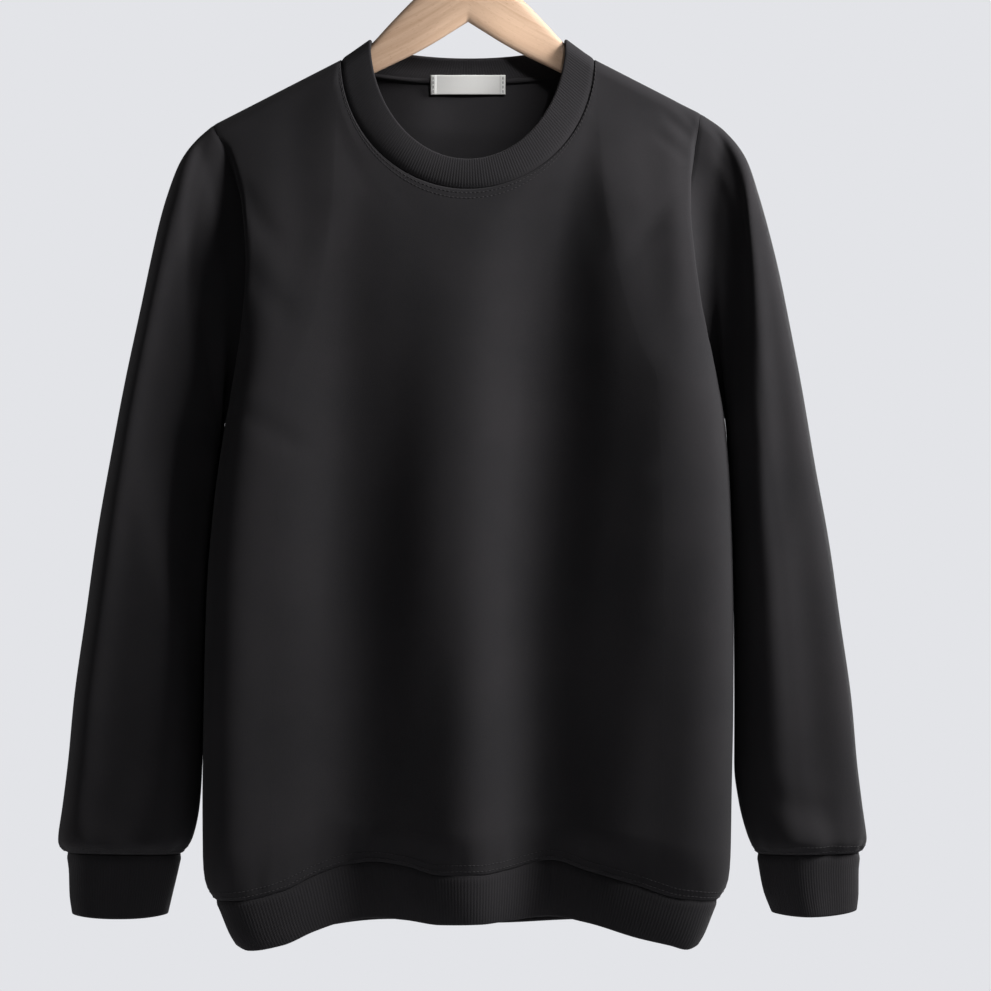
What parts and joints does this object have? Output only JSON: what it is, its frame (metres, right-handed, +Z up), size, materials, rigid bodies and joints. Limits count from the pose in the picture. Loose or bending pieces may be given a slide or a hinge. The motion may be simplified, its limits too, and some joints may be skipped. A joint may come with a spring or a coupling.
{
  "type": "crewneck sweatshirt on a wooden hanger",
  "caption": "Long-sleeved crewneck sweatshirt with rib-knit neckband, cuffs and hem, hanging open and hollow on a wooden hanger with a steel hook.",
  "frame": {"origin": "inside of the hook's crown, where a rail carries the hanger", "axes": "+Z up, the garment's front faces -Y, +X to the right of someone who looks at the front"},
  "size_m": [0.645, 0.142, 0.8544],
  "materials": {
    "fleece": "charcoal cotton fleece jersey, matt, slightly fuzzy",
    "rib": "charcoal rib knit, matt",
    "label": "off-white woven label, blank",
    "wood": "light beech, satin lacquer",
    "steel": "plain bright wire"
  },
  "bodies": {
    "root": {"front": "fleece", "back": "fleece", "sleeve_left_upper": "fleece", "sleeve_left_lower": "fleece", "sleeve_right_upper": "fleece", "sleeve_right_lower": "fleece", "cuff_left": "rib", "cuff_right": "rib", "hem_band": "rib", "neckband": "rib", "neck_label": "label", "hanger": "wood", "hook": "steel"}
  },
  "joints": []
}
